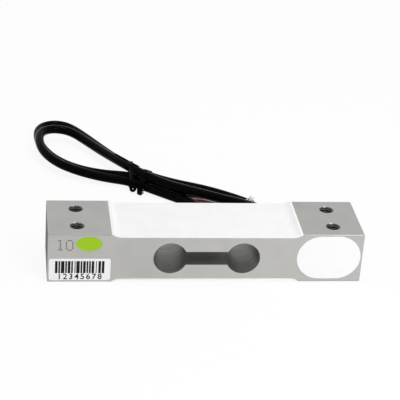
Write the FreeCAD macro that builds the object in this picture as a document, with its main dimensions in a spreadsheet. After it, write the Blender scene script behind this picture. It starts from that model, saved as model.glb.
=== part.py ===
import FreeCAD, Part

import math
import os

import Sketcher
from FreeCAD import Rotation, Vector

# Single point load cell: one aluminium bar with a double bore (binocular) spring cut, foil gauges
# in shallow recesses above and below it, a coat of silicone over them, and a tied signal cable.
# Frame: the origin is the middle of the bar's underside, +X runs to the load end, +Y to the face
# that the cable leaves, +Z is up. All lengths are in millimetres.

SIZES = [
    ("beam_length", 130.0, "bar, along X"),
    ("beam_width", 30.0, "bar, along Y"),
    ("beam_height", 22.0, "bar, along Z"),
    ("edge_break", 0.3, "chamfer on the bar's outer edges"),
    ("bore_diameter", 14.0, "each bore of the double bore"),
    ("bore_pitch", 30.0, "between the two bores"),
    ("slot_height", 6.0, "slot that joins the bores"),
    ("recess_length", 78.5, "recess in the top and bottom faces, along X"),
    ("recess_depth", 1.5, "recess floor below the face"),
    ("recess_radius", 7.0, "cutter radius at the ends of the recess"),
    ("screw_pitch_x", 106.0, "between the base pair and the load pair"),
    ("screw_pitch_y", 15.0, "between the two screws of a pair"),
    ("tapped_diameter", 5.0, "core diameter of the M6 thread"),
    ("mouth_diameter", 6.2, "countersunk mouth of a tapped hole"),
    ("entry_x", 30.0, "cable hole from the middle of the bar"),
    ("entry_diameter", 5.0, "cable hole in the back face"),
    ("entry_depth", 12.5, "cable hole from the back face"),
    ("riser_y", 4.5, "core hole from the middle of the bar"),
    ("riser_diameter", 3.5, "core hole up to the junction pocket"),
    ("junction_length", 8.0, "junction pocket along X"),
    ("junction_width", 7.0, "junction pocket along Y"),
    ("junction_depth", 5.0, "junction pocket below the recess floor"),
    ("junction_corner", 1.5, "corner radius of the junction pocket"),
    ("link_x", 28.0, "hole between the recesses, from the middle of the bar"),
    ("link_y", 4.5, "the same hole from the middle plane"),
    ("link_diameter", 2.0, "hole between the recesses"),
    ("coat_thickness", 0.55, "silicone over a recess floor"),
    ("film_thickness", 0.1, "polyimide film of the gauges and boards"),
    ("foil_thickness", 0.03, "gauge grid and its tabs"),
    ("gauge_length", 9.0, "gauge backing along X"),
    ("gauge_width", 5.0, "gauge backing along Y"),
    ("grid_length", 4.0, "gauge grid along X"),
    ("grid_width", 3.0, "gauge grid along Y"),
    ("tab_length", 1.2, "gauge tab along X"),
    ("tab_width", 0.9, "gauge tab along Y"),
    ("tab_pitch", 1.9, "between the two tabs of a gauge"),
    ("board_length", 16.0, "terminal board along X"),
    ("board_width", 12.0, "terminal board along Y"),
    ("resistor_length", 2.0, "trimming resistor along X"),
    ("resistor_width", 1.2, "trimming resistor along Y"),
    ("resistor_height", 0.3, "trimming resistor"),
    ("resistor_pitch", 4.0, "between the trimming resistors"),
    ("resistor_y", 3.2, "trimming resistors from the middle plane"),
    ("lead_width", 0.5, "flat lead between a gauge and a board"),
    ("lead_thickness", 0.06, "the same lead"),
    ("ribbon_width", 1.5, "flat ribbon between the two boards"),
    ("ribbon_thickness", 0.1, "the same ribbon"),
    ("tail_width", 0.26, "bare flat conductor of a core"),
    ("solder_length", 0.8, "solder joint along X"),
    ("solder_width", 0.3, "solder joint along Y, on each side"),
    ("solder_height", 0.3, "solder joint"),
    ("solder_inset", 0.5, "solder joint from the end of a board"),
    ("cable_diameter", 4.2, "cable jacket"),
    ("jacket_wall", 0.65, "wall of the cable jacket"),
    ("root_length", 6.0, "jacket inside the bar"),
    ("seal_bead_height", 0.5, "sealing bead proud of the back face"),
    ("seal_bead_diameter", 6.4, "sealing bead round the cable"),
    ("core_diameter", 1.1, "insulated core"),
    ("core_circle", 1.7, "circle through the middles of the four cores"),
    ("core_turn", 20.0, "turn of that circle, in degrees"),
    ("core_bend", 1.8, "bend of the cores from the cable hole up the core hole"),
    ("core_stop", 2.0, "ends of the cores below the recess floor"),
    ("core_lead", 2.5, "straight start of a stripped core"),
    ("drain_diameter", 0.4, "drain wire of the shield"),
    ("tip_diameter", 0.7, "tinned end of a core"),
    ("tip_length", 4.5, "tinned end of a core"),
    ("label_thickness", 0.1, "paper labels and the sticker"),
    ("barcode_length", 25.0, "barcode label"),
    ("barcode_height", 10.0, "barcode label"),
    ("barcode_corner", 1.0, "barcode label"),
    ("barcode_inset", 13.15, "middle of the barcode label from the -X end"),
    ("barcode_z", 5.85, "middle of the barcode label"),
    ("sticker_length", 10.7, "oval approval sticker"),
    ("sticker_height", 6.4, "oval approval sticker"),
    ("sticker_inset", 16.8, "middle of the oval sticker from the -X end"),
    ("sticker_z", 17.55, "middle of the oval sticker"),
    ("blank_length", 26.7, "round-ended blank label"),
    ("blank_height", 19.7, "round-ended blank label"),
    ("blank_inset", 14.2, "middle of the blank label from the +X end"),
    ("blank_z", 11.4, "middle of the blank label"),
    ("tie_width", 2.6, "plastic twist tie, across the strip"),
    ("tie_thickness", 0.4, "plastic twist tie"),
    ("tie_clearance", 0.55, "twist tie round the strands"),
    ("tie_twist_diameter", 2.2, "twisted ends of the tie"),
    ("tie_twist_length", 7.0, "twisted ends of the tie"),
]

doc = FreeCAD.newDocument("SinglePointLoadCell")
sheet = doc.addObject("Spreadsheet::Sheet", "Sizes")
for row, (alias, number, meaning) in enumerate(SIZES, start=1):
    sheet.set(f"A{row}", meaning)
    sheet.set(f"B{row}", str(number))
    sheet.setAlias(f"B{row}", alias)
doc.recompute()

nodes = []


# ---- small helpers -----------------------------------------------------------------------------

def value(expression):
    """The number that an expression over the sheet has now."""
    return float(sheet.evalExpression(expression))


def node(name, item):
    """Registers a finished sub-part under the name of its file."""
    item.Label = name
    nodes.append(item)
    return item


def seat(item, x, y, z):
    """Binds the place of an item to three expressions."""
    item.setExpression("Placement.Base.x", x)
    item.setExpression("Placement.Base.y", y)
    item.setExpression("Placement.Base.z", z)
    return item


def box(name, length, width, height, x, y, z):
    """Box centred on x and y, standing on z."""
    item = doc.addObject("Part::Box", name)
    item.setExpression("Length", length)
    item.setExpression("Width", width)
    item.setExpression("Height", height)
    return seat(item, f"{x} - ({length}) / 2", f"{y} - ({width}) / 2", z)


def cylinder(name, diameter, length, x, y, z, along=Vector(0, 0, 1)):
    """Cylinder that starts at the point x, y, z and runs in the given direction."""
    item = doc.addObject("Part::Cylinder", name)
    item.Placement.Rotation = Rotation(Vector(0, 0, 1), along)
    item.setExpression("Radius", f"({diameter}) / 2")
    item.setExpression("Height", length)
    return seat(item, x, y, z)


def fuse(name, items):
    item = doc.addObject("Part::MultiFuse", name)
    item.Shapes = items
    return item


def cut(name, base, tool):
    item = doc.addObject("Part::Cut", name)
    item.Base = base
    item.Tool = tool
    return item


def feature(name, shape):
    """Sub-part whose shape is made with Part's own functions."""
    item = doc.addObject("Part::Feature", name)
    item.Shape = shape
    return item


def height(side, level):
    """Height of a level counted inwards from the top or the bottom face of the bar."""
    return f"Sizes.beam_height - ({level})" if side == "top" else f"({level})"


def slab_base(side, inner, outer):
    """Underside of a slab between two levels, the inner one deeper in the bar."""
    return height(side, inner if side == "top" else outer)


# ---- sketches ----------------------------------------------------------------------------------

def new_sketch(body, name, role):
    plane = next(item for item in body.Origin.OriginFeatures if item.Role == role)
    sketch = body.newObject("Sketcher::SketchObject", name)
    sketch.AttachmentSupport = [(plane, "")]
    sketch.MapMode = "FlatFace"
    return sketch


def constrain(sketch, kind, places, expression):
    """Adds one dimension and binds it to the sheet."""
    index = sketch.addConstraint(Sketcher.Constraint(kind, *places, value(expression)))
    sketch.renameConstraint(index, f"{kind}{index}")
    sketch.setExpression(f"Constraints.{kind}{index}", expression)


def draw_circle(sketch, x, y, diameter):
    centre = Vector(value(x), value(y), 0)
    circle = sketch.addGeometry(Part.Circle(centre, Vector(0, 0, 1), value(diameter) / 2))
    constrain(sketch, "DistanceX", (-1, 1, circle, 3), x)
    constrain(sketch, "DistanceY", (-1, 1, circle, 3), y)
    constrain(sketch, "Diameter", (circle,), diameter)


def draw_outline(sketch, corners):
    """Closed outline. A corner is (x, y) where a line leaves it and (x, y, radius, turn) where an
    arc does, and turn is +1 for an anticlockwise arc and -1 for a clockwise one."""
    points = [Vector(value(corner[0]), value(corner[1]), 0) for corner in corners]
    ends = []
    for index, corner in enumerate(corners):
        start = points[index]
        finish = points[(index + 1) % len(points)]
        if len(corner) == 2:
            edge = sketch.addGeometry(Part.LineSegment(start, finish))
            ends.append(((edge, 1), (edge, 2)))
            continue
        radius = value(corner[2])
        turn = corner[3]
        chord = finish - start
        rise = math.sqrt(radius ** 2 - (chord.Length / 2) ** 2)
        centre = (start + finish) / 2 + Vector(-chord.y, chord.x, 0) * (turn * rise / chord.Length)
        first, last = (start, finish) if turn > 0 else (finish, start)
        angles = [math.atan2(point.y - centre.y, point.x - centre.x) for point in (first, last)]
        circle = Part.Circle(centre, Vector(0, 0, 1), radius)
        edge = sketch.addGeometry(Part.ArcOfCircle(circle, angles[0], angles[1]))
        ends.append(((edge, 1), (edge, 2)) if turn > 0 else ((edge, 2), (edge, 1)))
        constrain(sketch, "Radius", (edge,), corner[2])
    for index, corner in enumerate(corners):
        before = ends[index - 1][1]
        after = ends[index][0]
        sketch.addConstraint(Sketcher.Constraint("Coincident", *before, *after))
        constrain(sketch, "DistanceX", (-1, 1, *after), corner[0])
        constrain(sketch, "DistanceY", (-1, 1, *after), corner[1])


def draw_rectangle(sketch, length, width, x="0", y="0"):
    left, right = f"{x} - ({length}) / 2", f"{x} + ({length}) / 2"
    low, high = f"{y} - ({width}) / 2", f"{y} + ({width}) / 2"
    draw_outline(sketch, [(left, low), (right, low), (right, high), (left, high)])


def pad(body, sketch, length):
    """Pad to both sides of the sketch."""
    item = body.newObject("PartDesign::Pad", f"{sketch.Name}Pad")
    item.Profile = sketch
    item.SideType = "Symmetric"
    item.setExpression("Length", length)
    return item


def pocket_through(body, sketch):
    item = body.newObject("PartDesign::Pocket", f"{sketch.Name}Pocket")
    item.Profile = sketch
    item.SideType = "Symmetric"
    item.Type = "ThroughAll"
    return item


def removed(before, item, name):
    """Stops if a cutting feature took nothing away."""
    doc.recompute()
    if item.Shape.Volume > before - 1e-3:
        raise RuntimeError(f"{name} cuts nothing")
    return item.Shape.Volume


# ---- the bar -----------------------------------------------------------------------------------

RECESS_END = "Sizes.recess_length / 2"
RECESS_FLAT = (f"{RECESS_END} - sqrt(2 * Sizes.recess_radius * Sizes.recess_depth"
               " - Sizes.recess_depth ^ 2)")
ENTRY_Z = "Sizes.beam_height / 2"
BACK = "Sizes.beam_width / 2"
TOP_FLOOR = "Sizes.beam_height - Sizes.recess_depth"
SCREWS = [(f"{x} * Sizes.screw_pitch_x / 2", f"{y} * Sizes.screw_pitch_y / 2")
          for x in (-1, 1) for y in (-1, 1)]


def offset_sketch(body, name, role, offset):
    """Sketch on a plane parallel to an origin plane, moved along that plane's normal."""
    sketch = new_sketch(body, name, role)
    sketch.setExpression("AttachmentOffset.Base.z", offset)
    return sketch


def pocket_down(body, sketch, depth, reverse):
    item = body.newObject("PartDesign::Pocket", f"{sketch.Name}Pocket")
    item.Profile = sketch
    item.Type = "Length"
    item.Reversed = reverse
    item.setExpression("Length", depth)
    return item


def mouth_edges(shape):
    """Names of the circles where the tapped holes meet the top and bottom faces."""
    names = []
    for index, edge in enumerate(shape.Edges, start=1):
        circle = edge.Curve
        if not isinstance(circle, Part.Circle):
            continue
        if abs(circle.Radius - sheet.tapped_diameter / 2) > 1e-6 or abs(circle.Axis.z) < 0.99:
            continue
        if abs(abs(circle.Center.x) - sheet.screw_pitch_x / 2) < 1e-6:
            names.append(f"Edge{index}")
    return names


def make_beam():
    body = doc.addObject("PartDesign::Body", "Beam")
    outline = new_sketch(body, "Outline", "XZ_Plane")
    draw_rectangle(outline, "Sizes.beam_length", "Sizes.beam_height", y="Sizes.beam_height / 2")
    block = pad(body, outline, "Sizes.beam_width")
    doc.recompute()
    broken = body.newObject("PartDesign::Chamfer", "BrokenEdges")
    broken.Base = (block, [f"Edge{index + 1}" for index in range(len(block.Shape.Edges))])
    broken.setExpression("Size", "Sizes.edge_break")
    doc.recompute()
    volume = broken.Shape.Volume

    for side in ("top", "bottom"):
        face = height(side, "0")
        floor = height(side, "Sizes.recess_depth")
        recess = new_sketch(body, f"Recess_{side}", "XZ_Plane")
        turn = 1 if side == "top" else -1
        outside = height(side, "-1 * Sizes.recess_depth")
        draw_outline(recess, [
            (f"-1 * ({RECESS_END})", face, "Sizes.recess_radius", turn),
            (f"-1 * ({RECESS_FLAT})", floor),
            (RECESS_FLAT, floor, "Sizes.recess_radius", turn),
            (RECESS_END, face),
            (RECESS_END, outside),
            (f"-1 * ({RECESS_END})", outside)])
        volume = removed(volume, pocket_through(body, recess), f"{side} recess")

    bores = new_sketch(body, "Bores", "XZ_Plane")
    for side in (-1, 1):
        draw_circle(bores, f"{side} * Sizes.bore_pitch / 2", ENTRY_Z, "Sizes.bore_diameter")
    volume = removed(volume, pocket_through(body, bores), "double bore")
    slot = new_sketch(body, "Slot", "XZ_Plane")
    draw_rectangle(slot, "Sizes.bore_pitch", "Sizes.slot_height", y=ENTRY_Z)
    volume = removed(volume, pocket_through(body, slot), "slot")

    tapped = new_sketch(body, "TappedHoles", "XY_Plane")
    for x, y in SCREWS:
        draw_circle(tapped, x, y, "Sizes.tapped_diameter")
    holes = pocket_through(body, tapped)
    volume = removed(volume, holes, "tapped holes")
    mouths = body.newObject("PartDesign::Chamfer", "Mouths")
    mouths.Base = (holes, mouth_edges(holes.Shape))
    mouths.setExpression("Size", "(Sizes.mouth_diameter - Sizes.tapped_diameter) / 2")
    volume = removed(volume, mouths, "hole mouths")

    entry = offset_sketch(body, "CableHole", "XZ_Plane", f"-1 * {BACK}")
    draw_circle(entry, "Sizes.entry_x", ENTRY_Z, "Sizes.entry_diameter")
    volume = removed(volume, pocket_down(body, entry, "Sizes.entry_depth", True), "cable hole")
    junction = offset_sketch(body, "Junction", "XY_Plane", TOP_FLOOR)
    draw_rectangle(junction, "Sizes.junction_length", "Sizes.junction_width",
                   x="Sizes.entry_x", y="Sizes.riser_y")
    well = pocket_down(body, junction, "Sizes.junction_depth", False)
    volume = removed(volume, well, "junction pocket")
    corners = []
    for index, edge in enumerate(well.Shape.Edges, start=1):
        middle = edge.CenterOfMass
        upright = abs(edge.BoundBox.ZLength - sheet.junction_depth) < 1e-6
        if upright and abs(abs(middle.x - sheet.entry_x) - sheet.junction_length / 2) < 1e-6:
            corners.append(f"Edge{index}")
    rounded = body.newObject("PartDesign::Fillet", "JunctionCorners")
    rounded.Base = (well, corners)
    rounded.setExpression("Radius", "Sizes.junction_corner")
    doc.recompute()
    volume = rounded.Shape.Volume
    riser = offset_sketch(body, "CoreHole", "XY_Plane", TOP_FLOOR)
    draw_circle(riser, "Sizes.entry_x", "Sizes.riser_y", "Sizes.riser_diameter")
    depth = "Sizes.beam_height / 2 - Sizes.recess_depth"
    volume = removed(volume, pocket_down(body, riser, depth, False), "core hole")
    link = new_sketch(body, "LinkHole", "XY_Plane")
    draw_circle(link, "-1 * Sizes.link_x", "Sizes.link_y", "Sizes.link_diameter")
    removed(volume, pocket_through(body, link), "link hole")
    return node("beam", body)


# ---- paths of wires, cores and the cable -------------------------------------------------------

def rounded_path(points, radius=None):
    """Straight runs joined by tangent arcs. Without a radius each arc is as large as its two runs
    allow: 0.45 of the shorter run, divided by the tangent of half the turn."""
    edges = []
    radii = []
    last = points[0]
    for before, corner, after in zip(points, points[1:], points[2:]):
        back = (before - corner).normalize()
        ahead = (after - corner).normalize()
        half_turn = (math.pi - back.getAngle(ahead)) / 2
        if radius is None:
            reach = 0.45 * min((before - corner).Length, (after - corner).Length)
            bend = reach / math.tan(half_turn)
        else:
            bend = radius
            reach = bend * math.tan(half_turn)
        start = corner + back * reach
        finish = corner + ahead * reach
        inward = (back + ahead).normalize()
        middle = corner + inward * (bend / math.cos(half_turn) - bend)
        edges.append(Part.LineSegment(last, start).toShape())
        edges.append(Part.Arc(start, middle, finish).toShape())
        radii.append(bend)
        last = finish
    edges.append(Part.LineSegment(last, points[-1]).toShape())
    return Part.Wire(edges), radii


def tube(points, diameter, radius=None):
    """Round solid along a path, checked against its section times its length."""
    path, radii = rounded_path(points, radius)
    ring = Part.makeCircle(diameter / 2, points[0], points[1] - points[0])
    solid = path.makePipeShell([Part.Wire([ring])], True, False)
    expected = math.pi * diameter ** 2 / 4 * path.Length
    if abs(solid.Volume - expected) > 0.01 * expected:
        raise RuntimeError("a tube's volume is not its section times its length")
    return solid, path, radii


def core_places():
    """Middles of the four cores in the section of the cable, across and up."""
    for index in range(4):
        angle = math.radians(sheet.core_turn + 90 * index)
        yield (sheet.core_circle / 2 * math.cos(angle), sheet.core_circle / 2 * math.sin(angle))


# ---- gauges, boards and wires in the recesses --------------------------------------------------

FILM = "Sizes.recess_depth - Sizes.film_thickness"
FOIL = f"{FILM} - Sizes.foil_thickness"


def make_gauge(side, hand):
    """Foil gauge over a thin wall of the double bore: film, measuring grid and two tabs."""
    name = f"gauge_{side}_{'left' if hand < 0 else 'right'}"
    x = f"{hand} * Sizes.bore_pitch / 2"
    film_base = slab_base(side, "Sizes.recess_depth", FILM)
    foil_base = slab_base(side, FILM, FOIL)
    pieces = [
        box(f"{name}_film", "Sizes.gauge_length", "Sizes.gauge_width", "Sizes.film_thickness",
            x, "0", film_base),
        box(f"{name}_grid", "Sizes.grid_length", "Sizes.grid_width", "Sizes.foil_thickness",
            x, "0", foil_base)]
    tab_x = f"{hand} * (Sizes.bore_pitch - Sizes.gauge_length + Sizes.tab_length) / 2"
    for row in (-1, 1):
        pieces.append(box(f"{name}_tab{row + 1}", "Sizes.tab_length", "Sizes.tab_width",
                          "Sizes.foil_thickness", tab_x, f"{row} * Sizes.tab_pitch / 2", foil_base))
    return node(name, fuse(f"{name}_whole", pieces))


def make_board(side):
    base = slab_base(side, "Sizes.recess_depth", FILM)
    name = f"{side}_terminal_board"
    return node(name, box(name, "Sizes.board_length", "Sizes.board_width", "Sizes.film_thickness",
                          "0", "0", base))


def make_resistors():
    """Two bridge trimming resistors on the top board."""
    base = slab_base("top", FILM, f"{FILM} - Sizes.resistor_height")
    chips = [box(f"resistor{hand + 1}", "Sizes.resistor_length", "Sizes.resistor_width",
                 "Sizes.resistor_height", f"{hand} * Sizes.resistor_pitch / 2",
                 "-1 * Sizes.resistor_y", base) for hand in (-1, 1)]
    return node("balance_resistors", fuse("resistors", chips))


SOLDER_END = "(Sizes.board_length / 2 - Sizes.solder_inset)"
LEAD_START = "(Sizes.bore_pitch - Sizes.gauge_length + Sizes.tab_length) / 2"


def make_gauge_leads(side):
    """Flat foil leads from the tabs of both gauges to the board between them."""
    base = slab_base(side, FOIL, f"{FOIL} - Sizes.lead_thickness")
    leads = [box(f"lead_{side}{hand + 1}{row + 1}", f"({LEAD_START}) - {SOLDER_END}",
                 "Sizes.lead_width", "Sizes.lead_thickness",
                 f"{hand} * ({LEAD_START} + {SOLDER_END}) / 2",
                 f"{row} * Sizes.tab_pitch / 2", base)
             for hand in (-1, 1) for row in (-1, 1)]
    return node(f"gauge_leads_{side}", fuse(f"leads_{side}", leads))


def make_link_ribbon():
    """Flat ribbon that joins the two boards through its own hole."""
    body = doc.addObject("PartDesign::Body", "LinkRibbon")
    profile = new_sketch(body, "RibbonProfile", "XZ_Plane")
    end = f"-1 * {SOLDER_END}"
    far = "-1 * Sizes.link_x - Sizes.ribbon_thickness / 2"
    near = "-1 * Sizes.link_x + Sizes.ribbon_thickness / 2"
    outer = f"{FILM} - Sizes.ribbon_thickness"
    draw_outline(profile, [
        (end, height("bottom", outer)), (far, height("bottom", outer)),
        (far, height("top", outer)), (end, height("top", outer)),
        (end, height("top", FILM)), (near, height("top", FILM)),
        (near, height("bottom", FILM)), (end, height("bottom", FILM))])
    pad(body, profile, "Sizes.ribbon_width")
    body.setExpression("Placement.Base.y", "Sizes.link_y")
    return node("link_ribbon", body)


def make_tails():
    """Bare flat conductors: each goes up out of its core and along to the top board."""
    top_film = height("top", FILM)
    bottom = f"{TOP_FLOOR} - Sizes.core_stop"
    pieces = []
    for index, (across, up) in enumerate(core_places()):
        x = f"(Sizes.entry_x + {across:.6f})"
        y = f"(Sizes.riser_y + {up:.6f})"
        pieces.append(box(f"tail{index}_up", "Sizes.tail_width", "Sizes.tail_width",
                          f"{top_film} + Sizes.tail_width - ({bottom})", x, y, bottom))
        reach = f"{x} + Sizes.tail_width / 2 - {SOLDER_END}"
        pieces.append(box(f"tail{index}_along", reach, "Sizes.tail_width", "Sizes.tail_width",
                          f"({x} + Sizes.tail_width / 2 + {SOLDER_END}) / 2", y, top_film))
    return node("conductor_tails", fuse("tails", pieces))


def make_solder(side):
    """Solder joints where a lead, the ribbon or a conductor ends on a board."""
    base = slab_base(side, FILM, f"{FILM} - Sizes.solder_height")
    rows = [(hand, f"{row} * Sizes.tab_pitch / 2", "Sizes.lead_width")
            for hand in (-1, 1) for row in (-1, 1)]
    rows.append((-1, "Sizes.link_y", "Sizes.ribbon_width"))
    if side == "top":
        rows += [(1, f"Sizes.riser_y + {up:.6f}", "0") for _, up in core_places()]
    inset = f"({SOLDER_END} - Sizes.solder_length / 2)"
    joints = [box(f"solder_{side}{index}", "Sizes.solder_length", f"{width} + Sizes.solder_width",
                  "Sizes.solder_height", f"{hand} * {inset}", row, base)
              for index, (hand, row, width) in enumerate(rows)]
    return node(f"solder_joints_{side}", fuse(f"solder_{side}", joints))


def make_sealant(side, buried):
    """Silicone coat over a recess. It lies on the floor and climbs both end curves, and it is
    moulded round everything that it buries."""
    body = doc.addObject("PartDesign::Body", f"Coat_{side}")
    profile = new_sketch(body, f"CoatProfile_{side}", "XZ_Plane")
    coat_end = (f"{RECESS_FLAT} + sqrt((Sizes.recess_radius - Sizes.coat_thickness) ^ 2"
                " - (Sizes.recess_radius - Sizes.recess_depth) ^ 2)")
    inner_radius = "Sizes.recess_radius - Sizes.coat_thickness"
    face = height(side, "0")
    floor = height(side, "Sizes.recess_depth")
    surface = height(side, "Sizes.recess_depth - Sizes.coat_thickness")
    turn = 1 if side == "top" else -1
    draw_outline(profile, [
        (f"-1 * ({RECESS_END})", face, "Sizes.recess_radius", turn),
        (f"-1 * ({RECESS_FLAT})", floor),
        (RECESS_FLAT, floor, "Sizes.recess_radius", turn),
        (RECESS_END, face),
        (coat_end, face, inner_radius, -turn),
        (RECESS_FLAT, surface),
        (f"-1 * ({RECESS_FLAT})", surface, inner_radius, -turn),
        (f"-1 * ({coat_end})", face)])
    pad(body, profile, "Sizes.beam_width")
    return node(f"{side}_sealant", cut(f"moulded_{side}", body, fuse(f"buried_{side}", buried)))


# ---- cable entry -------------------------------------------------------------------------------

def make_entry_seal():
    """Ring of sealant round the cable in its hole, with a low bead on the back face."""
    body = doc.addObject("PartDesign::Body", "EntrySeal")
    section = new_sketch(body, "SealSection", "YZ_Plane")
    inner = "Sizes.cable_diameter / 2"
    hole = "Sizes.entry_diameter / 2"
    bead = "Sizes.seal_bead_diameter / 2"
    draw_outline(section, [
        ("0", inner), ("Sizes.root_length + Sizes.seal_bead_height", inner),
        ("Sizes.root_length", bead), ("Sizes.root_length", hole), ("0", hole)])
    turned = body.newObject("PartDesign::Revolution", "SealRing")
    turned.Profile = section
    turned.ReferenceAxis = (section, ["H_Axis"])
    seat(body, "Sizes.entry_x", f"{BACK} - Sizes.root_length", ENTRY_Z)
    return node("entry_seal", body)


def make_cable_root():
    """Jacket inside the bar: a tube round the four cores."""
    start = ("Sizes.entry_x", f"{BACK} - Sizes.root_length", ENTRY_Z)
    along = Vector(0, 1, 0)
    whole = cylinder("root_outside", "Sizes.cable_diameter", "Sizes.root_length", *start, along)
    core = cylinder("root_inside", "Sizes.cable_diameter - 2 * Sizes.jacket_wall",
                    "Sizes.root_length", *start, along)
    return node("cable_root", cut("root", whole, core))


CORE_COLOURS = ("white", "red", "green", "black")


def make_inner_cores():
    """Cores from the back face in along the cable hole and up the core hole."""
    cores = []
    for colour, (across, up) in zip(CORE_COLOURS, core_places()):
        x = sheet.entry_x + across
        y = sheet.riser_y + up
        z = value(ENTRY_Z) + up
        points = [Vector(x, value(BACK), z), Vector(x, y, z),
                  Vector(x, y, value(TOP_FLOOR) - sheet.core_stop)]
        solid = tube(points, sheet.core_diameter, sheet.core_bend - up)[0]
        cores.append(node(f"inner_core_{colour}", feature(f"inner_core_{colour}", solid)))
    return cores


def make_potting(buried):
    """Resin that fills the junction pocket and the core hole above the bend of the cores."""
    well = doc.addObject("PartDesign::Body", "PottingWell")
    outline = new_sketch(well, "WellOutline", "XY_Plane")
    draw_rectangle(outline, "Sizes.junction_length", "Sizes.junction_width")
    filled = well.newObject("PartDesign::Pad", "WellPad")
    filled.Profile = outline
    filled.setExpression("Length", "Sizes.junction_depth")
    doc.recompute()
    upright = [f"Edge{index}" for index, edge in enumerate(filled.Shape.Edges, start=1)
               if abs(edge.BoundBox.ZLength - sheet.junction_depth) < 1e-6]
    rounded = well.newObject("PartDesign::Fillet", "WellCorners")
    rounded.Base = (filled, upright)
    rounded.setExpression("Radius", "Sizes.junction_corner")
    seat(well, "Sizes.entry_x", "Sizes.riser_y", f"{TOP_FLOOR} - Sizes.junction_depth")
    start = f"{ENTRY_Z} + Sizes.core_bend"
    riser = cylinder("potting_riser", "Sizes.riser_diameter",
                     f"{TOP_FLOOR} - Sizes.junction_depth - ({start})",
                     "Sizes.entry_x", "Sizes.riser_y", start)
    filling = fuse("potting_whole", [well, riser])
    return node("core_potting", cut("potting", filling, fuse("potting_buried", buried)))


# ---- labels ------------------------------------------------------------------------------------

LABEL_FACE = "-1 * Sizes.beam_width / 2"
BASE_END = "-1 * Sizes.beam_length / 2"
BLANK_X = "(Sizes.beam_length / 2 - Sizes.blank_inset)"


def make_barcode_label():
    body = doc.addObject("PartDesign::Body", "BarcodeLabel")
    outline = new_sketch(body, "BarcodeOutline", "XZ_Plane")
    draw_rectangle(outline, "Sizes.barcode_length", "Sizes.barcode_height")
    sheet_pad = pad(body, outline, "Sizes.label_thickness")
    doc.recompute()
    corners = [f"Edge{index}" for index, edge in enumerate(sheet_pad.Shape.Edges, start=1)
               if abs(edge.BoundBox.YLength - sheet.label_thickness) < 1e-6]
    rounded = body.newObject("PartDesign::Fillet", "BarcodeCorners")
    rounded.Base = (sheet_pad, corners)
    rounded.setExpression("Radius", "Sizes.barcode_corner")
    seat(body, f"{BASE_END} + Sizes.barcode_inset",
         f"{LABEL_FACE} - Sizes.label_thickness / 2", "Sizes.barcode_z")
    return node("barcode_label", body)


def make_approval_sticker():
    rim = doc.addObject("Part::Ellipse", "sticker_rim")
    rim.Placement.Rotation = Rotation(Vector(1, 0, 0), 90)
    rim.setExpression("MajorRadius", "Sizes.sticker_length / 2")
    rim.setExpression("MinorRadius", "Sizes.sticker_height / 2")
    seat(rim, f"{BASE_END} + Sizes.sticker_inset", LABEL_FACE, "Sizes.sticker_z")
    disc = doc.addObject("Part::Extrusion", "sticker_disc")
    disc.Base = rim
    disc.DirMode = "Custom"
    disc.Dir = Vector(0, -1, 0)
    disc.Solid = True
    disc.setExpression("LengthFwd", "Sizes.label_thickness")
    return node("approval_sticker", disc)


def make_blank_label():
    """Round-ended label: a rectangle with a half disc at each end."""
    away = Vector(0, -1, 0)
    straight = "(Sizes.blank_length - Sizes.blank_height)"
    middle = box("blank_middle", straight, "Sizes.label_thickness", "Sizes.blank_height",
                 BLANK_X, f"{LABEL_FACE} - Sizes.label_thickness / 2",
                 "Sizes.blank_z - Sizes.blank_height / 2")
    ends = [cylinder(f"blank_end{hand + 1}", "Sizes.blank_height", "Sizes.label_thickness",
                     f"{BLANK_X} + {hand} * {straight} / 2", LABEL_FACE, "Sizes.blank_z", away)
            for hand in (-1, 1)]
    return node("blank_label", fuse("blank", [middle] + ends))


# ---- the free cable ----------------------------------------------------------------------------

# Chosen points of the cable: out of the back face, to the tie, one turn above, back to the tie,
# round behind the bar, through the tie again, one turn on the floor and back to its free end.
CABLE_POINTS = [
    (30, 15, 11), (30, 26, 11), (27.5, 38, 8.2), (17, 49, 6.5), (3, 58, 6.5), (-10.5, 65.5, 6.9),
    (-22.5, 74.5, 8), (-35.5, 99, 5.6), (-43, 111.8, 5.3), (-50.5, 121.5, 5.8),
    (-59, 122.8, 6.3), (-65.3, 117.4, 6.6), (-66.3, 107, 6.6), (-64, 96.5, 5.9), (-58, 87, 5.1),
    (-49, 80.2, 4.4), (-37.5, 76, 3.4), (-24.5, 74, 3.5), (-12.5, 63.5, 2.1), (-2, 49, 2.1),
    (8, 33, 2.1), (19.5, 22.2, 2.1), (33, 22, 2.1), (42.6, 32, 2.1), (41, 45.5, 2.1),
    (27, 54.2, 2.1), (10, 63.8, 2.1), (-6, 71.8, 2.1), (-18.5, 80.5, 3.5), (-28.2, 94.3, 2.1),
    (-36.2, 107.8, 2.1), (-43.3, 121.2, 2.1), (-49.8, 131, 2.1), (-58.2, 133, 2.1),
    (-65.2, 128.2, 2.1), (-66.2, 117.5, 2.1), (-64, 106, 2.1), (-59, 95.5, 2.1),
    (-50.5, 86.8, 2.1), (-38.5, 81, 2.1), (-22.5, 78.8, 3.5), (-12.5, 69.6, 2.1), (-4, 60.6, 2.1)]

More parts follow.
